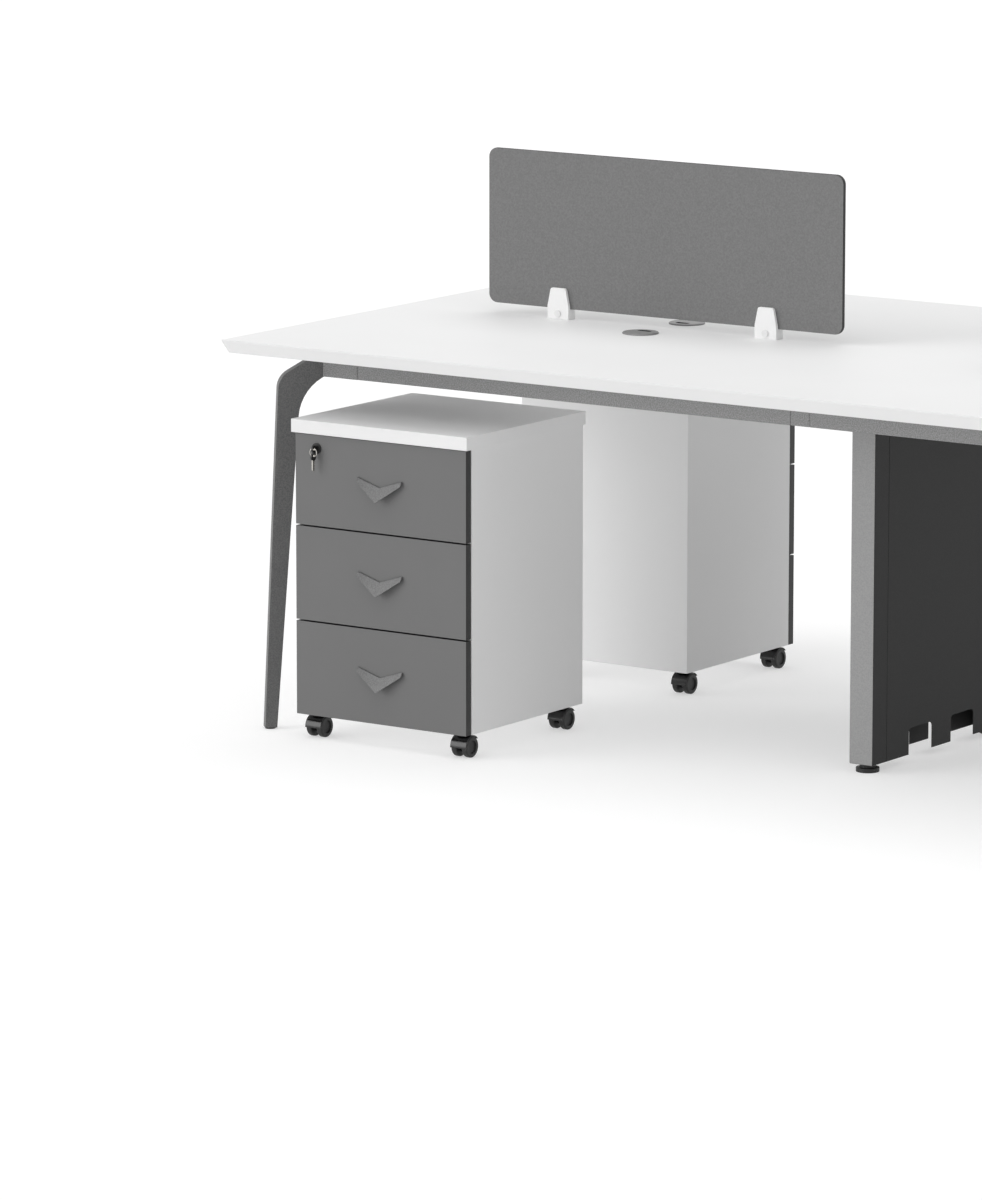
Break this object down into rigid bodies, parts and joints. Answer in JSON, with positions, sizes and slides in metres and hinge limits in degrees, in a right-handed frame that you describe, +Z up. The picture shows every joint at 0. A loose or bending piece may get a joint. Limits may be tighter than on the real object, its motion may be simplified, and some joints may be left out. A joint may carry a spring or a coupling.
{
  "type": "cubicle workstation",
  "caption": "Bench workstation for facing seats: white top on a grey frame with splayed legs, desk screens, cable grommets and mobile drawer pedestals.",
  "frame": {"origin": "middle of the bench's plan, on the floor", "axes": "+X along the bench, towards the end without pedestals; +Y from the front seats to the rear seats; +Z up"},
  "size_m": [2.4, 1.2, 1.07],
  "materials": {
    "white_board": "satin white laminate",
    "powder_coat": "matt grey powder coat",
    "leg_casting": "dark grey powder coat on cast aluminium",
    "panel_sheet": "dark grey powder coat",
    "felt": "pressed grey felt",
    "black_plastic": "matt black plastic",
    "white_plastic": "white plastic",
    "zinc": "zinc plated",
    "silver_plastic": "silver-grey plastic",
    "case_board": "light grey laminate",
    "face_board": "dark grey laminate",
    "handle_metal": "satin grey"
  },
  "bodies": {
    "desk": {"table_top": "white_board", "corner_legs": "leg_casting", "frame_rails": "powder_coat", "middle_frame": "powder_coat", "cable_panels": "panel_sheet", "floor_glides": "black_plastic", "screens": "felt", "screen_clips": "white_plastic", "fixing_screws": "zinc", "grommet_sleeves": "silver_plastic"},
    "grommet_cap_1": {"grommet_cap_1": "silver_plastic"},
    "grommet_cap_2": {"grommet_cap_2": "silver_plastic"},
    "grommet_cap_3": {"grommet_cap_3": "silver_plastic"},
    "grommet_cap_4": {"grommet_cap_4": "silver_plastic"},
    "pedestal_a": {"pedestal_a_case": "case_board", "pedestal_a_top_board": "white_board", "pedestal_a_runners": "zinc", "pedestal_a_caster_plates": "zinc"},
    "pedestal_a_drawer_1": {"pedestal_a_face_1": "face_board", "pedestal_a_drawer_1": "case_board", "pedestal_a_handle_1": "handle_metal", "pedestal_a_lock_barrel": "zinc"},
    "pedestal_a_drawer_2": {"pedestal_a_face_2": "face_board", "pedestal_a_drawer_2": "case_board", "pedestal_a_handle_2": "handle_metal"},
    "pedestal_a_drawer_3": {"pedestal_a_face_3": "face_board", "pedestal_a_drawer_3": "case_board", "pedestal_a_handle_3": "handle_metal"},
    "pedestal_a_lock_key": {"pedestal_a_lock_key": "zinc"},
    "pedestal_a_caster_1": {"pedestal_a_caster_1": "black_plastic"},
    "pedestal_a_wheels_1": {"pedestal_a_wheels_1": "black_plastic"},
    "pedestal_a_caster_2": {"pedestal_a_caster_2": "black_plastic"},
    "pedestal_a_wheels_2": {"pedestal_a_wheels_2": "black_plastic"},
    "pedestal_a_caster_3": {"pedestal_a_caster_3": "black_plastic"},
    "pedestal_a_wheels_3": {"pedestal_a_wheels_3": "black_plastic"},
    "pedestal_a_caster_4": {"pedestal_a_caster_4": "black_plastic"},
    "pedestal_a_wheels_4": {"pedestal_a_wheels_4": "black_plastic"},
    "pedestal_b": {"pedestal_b_case": "case_board", "pedestal_b_top_board": "white_board", "pedestal_b_runners": "zinc", "pedestal_b_caster_plates": "zinc"},
    "pedestal_b_drawer_1": {"pedestal_b_face_1": "face_board", "pedestal_b_drawer_1": "case_board", "pedestal_b_handle_1": "handle_metal", "pedestal_b_lock_barrel": "zinc"},
    "pedestal_b_drawer_2": {"pedestal_b_face_2": "face_board", "pedestal_b_drawer_2": "case_board", "pedestal_b_handle_2": "handle_metal"},
    "pedestal_b_drawer_3": {"pedestal_b_face_3": "face_board", "pedestal_b_drawer_3": "case_board", "pedestal_b_handle_3": "handle_metal"},
    "pedestal_b_lock_key": {"pedestal_b_lock_key": "zinc"},
    "pedestal_b_caster_1": {"pedestal_b_caster_1": "black_plastic"},
    "pedestal_b_wheels_1": {"pedestal_b_wheels_1": "black_plastic"},
    "pedestal_b_caster_2": {"pedestal_b_caster_2": "black_plastic"},
    "pedestal_b_wheels_2": {"pedestal_b_wheels_2": "black_plastic"},
    "pedestal_b_caster_3": {"pedestal_b_caster_3": "black_plastic"},
    "pedestal_b_wheels_3": {"pedestal_b_wheels_3": "black_plastic"},
    "pedestal_b_caster_4": {"pedestal_b_caster_4": "black_plastic"},
    "pedestal_b_wheels_4": {"pedestal_b_wheels_4": "black_plastic"}
  },
  "joints": [
    {"name": "grommet_cap_1_turn", "type": "hinge", "parent": "desk", "child": "grommet_cap_1", "pos_m": [-0.6, -0.08, 0.752], "axis": [0, 0, 1], "continuous": true},
    {"name": "grommet_cap_2_turn", "type": "hinge", "parent": "desk", "child": "grommet_cap_2", "pos_m": [-0.6, 0.08, 0.752], "axis": [0, 0, 1], "continuous": true},
    {"name": "grommet_cap_3_turn", "type": "hinge", "parent": "desk", "child": "grommet_cap_3", "pos_m": [0.6, -0.08, 0.752], "axis": [0, 0, 1], "continuous": true},
    {"name": "grommet_cap_4_turn", "type": "hinge", "parent": "desk", "child": "grommet_cap_4", "pos_m": [0.6, 0.08, 0.752], "axis": [0, 0, 1], "continuous": true},
    {"name": "pedestal_a_roll_out", "type": "slide", "parent": "desk", "child": "pedestal_a", "axis": [0, -1, 0], "range_m": [0, 0.5]},
    {"name": "pedestal_a_drawer_1_slide", "type": "slide", "parent": "pedestal_a", "child": "pedestal_a_drawer_1", "axis": [0, -1, 0], "range_m": [0, 0.28]},
    {"name": "pedestal_a_drawer_2_slide", "type": "slide", "parent": "pedestal_a", "child": "pedestal_a_drawer_2", "axis": [0, -1, 0], "range_m": [0, 0.28]},
    {"name": "pedestal_a_drawer_3_slide", "type": "slide", "parent": "pedestal_a", "child": "pedestal_a_drawer_3", "axis": [0, -1, 0], "range_m": [0, 0.28]},
    {"name": "pedestal_a_lock_turn", "type": "hinge", "parent": "pedestal_a_drawer_1", "child": "pedestal_a_lock_key", "pos_m": [-0.9995, -0.572, 0.5575], "axis": [0, -1, 0], "range_deg": [0, 90]},
    {"name": "pedestal_a_caster_1_swivel", "type": "hinge", "parent": "pedestal_a", "child": "pedestal_a_caster_1", "pos_m": [-1.021, -0.54, 0.045], "axis": [0, 0, 1], "continuous": true},
    {"name": "pedestal_a_wheels_1_spin", "type": "hinge", "parent": "pedestal_a_caster_1", "child": "pedestal_a_wheels_1", "pos_m": [-1.021, -0.537, 0.02], "axis": [1, 0, 0], "continuous": true},
    {"name": "pedestal_a_caster_2_swivel", "type": "hinge", "parent": "pedestal_a", "child": "pedestal_a_caster_2", "pos_m": [-0.686, -0.54, 0.045], "axis": [0, 0, 1], "continuous": true},
    {"name": "pedestal_a_wheels_2_spin", "type": "hinge", "parent": "pedestal_a_caster_2", "child": "pedestal_a_wheels_2", "pos_m": [-0.686, -0.537, 0.02], "axis": [1, 0, 0], "continuous": true},
    {"name": "pedestal_a_caster_3_swivel", "type": "hinge", "parent": "pedestal_a", "child": "pedestal_a_caster_3", "pos_m": [-1.021, -0.219, 0.045], "axis": [0, 0, 1], "continuous": true},
    {"name": "pedestal_a_wheels_3_spin", "type": "hinge", "parent": "pedestal_a_caster_3", "child": "pedestal_a_wheels_3", "pos_m": [-1.021, -0.216, 0.02], "axis": [1, 0, 0], "continuous": true},
    {"name": "pedestal_a_caster_4_swivel", "type": "hinge", "parent": "pedestal_a", "child": "pedestal_a_caster_4", "pos_m": [-0.686, -0.219, 0.045], "axis": [0, 0, 1], "continuous": true},
    {"name": "pedestal_a_wheels_4_spin", "type": "hinge", "parent": "pedestal_a_caster_4", "child": "pedestal_a_wheels_4", "pos_m": [-0.686, -0.216, 0.02], "axis": [1, 0, 0], "continuous": true},
    {"name": "pedestal_b_roll_out", "type": "slide", "parent": "desk", "child": "pedestal_b", "axis": [0, 1, 0], "range_m": [0, 0.5]},
    {"name": "pedestal_b_drawer_1_slide", "type": "slide", "parent": "pedestal_b", "child": "pedestal_b_drawer_1", "axis": [0, 1, 0], "range_m": [0, 0.28]},
    {"name": "pedestal_b_drawer_2_slide", "type": "slide", "parent": "pedestal_b", "child": "pedestal_b_drawer_2", "axis": [0, 1, 0], "range_m": [0, 0.28]},
    {"name": "pedestal_b_drawer_3_slide", "type": "slide", "parent": "pedestal_b", "child": "pedestal_b_drawer_3", "axis": [0, 1, 0], "range_m": [0, 0.28]},
    {"name": "pedestal_b_lock_turn", "type": "hinge", "parent": "pedestal_b_drawer_1", "child": "pedestal_b_lock_key", "pos_m": [-0.7075, 0.5605, 0.5575], "axis": [0, 1, 0], "range_deg": [0, 90]},
    {"name": "pedestal_b_caster_1_swivel", "type": "hinge", "parent": "pedestal_b", "child": "pedestal_b_caster_1", "pos_m": [-0.686, 0.5285, 0.045], "axis": [0, 0, 1], "continuous": true},
    {"name": "pedestal_b_wheels_1_spin", "type": "hinge", "parent": "pedestal_b_caster_1", "child": "pedestal_b_wheels_1", "pos_m": [-0.686, 0.5315, 0.02], "axis": [1, 0, 0], "continuous": true},
    {"name": "pedestal_b_caster_2_swivel", "type": "hinge", "parent": "pedestal_b", "child": "pedestal_b_caster_2", "pos_m": [-1.021, 0.5285, 0.045], "axis": [0, 0, 1], "continuous": true},
    {"name": "pedestal_b_wheels_2_spin", "type": "hinge", "parent": "pedestal_b_caster_2", "child": "pedestal_b_wheels_2", "pos_m": [-1.021, 0.5315, 0.02], "axis": [1, 0, 0], "continuous": true},
    {"name": "pedestal_b_caster_3_swivel", "type": "hinge", "parent": "pedestal_b", "child": "pedestal_b_caster_3", "pos_m": [-0.686, 0.2075, 0.045], "axis": [0, 0, 1], "continuous": true},
    {"name": "pedestal_b_wheels_3_spin", "type": "hinge", "parent": "pedestal_b_caster_3", "child": "pedestal_b_wheels_3", "pos_m": [-0.686, 0.2105, 0.02], "axis": [1, 0, 0], "continuous": true},
    {"name": "pedestal_b_caster_4_swivel", "type": "hinge", "parent": "pedestal_b", "child": "pedestal_b_caster_4", "pos_m": [-1.021, 0.2075, 0.045], "axis": [0, 0, 1], "continuous": true},
    {"name": "pedestal_b_wheels_4_spin", "type": "hinge", "parent": "pedestal_b_caster_4", "child": "pedestal_b_wheels_4", "pos_m": [-1.021, 0.2105, 0.02], "axis": [1, 0, 0], "continuous": true}
  ]
}
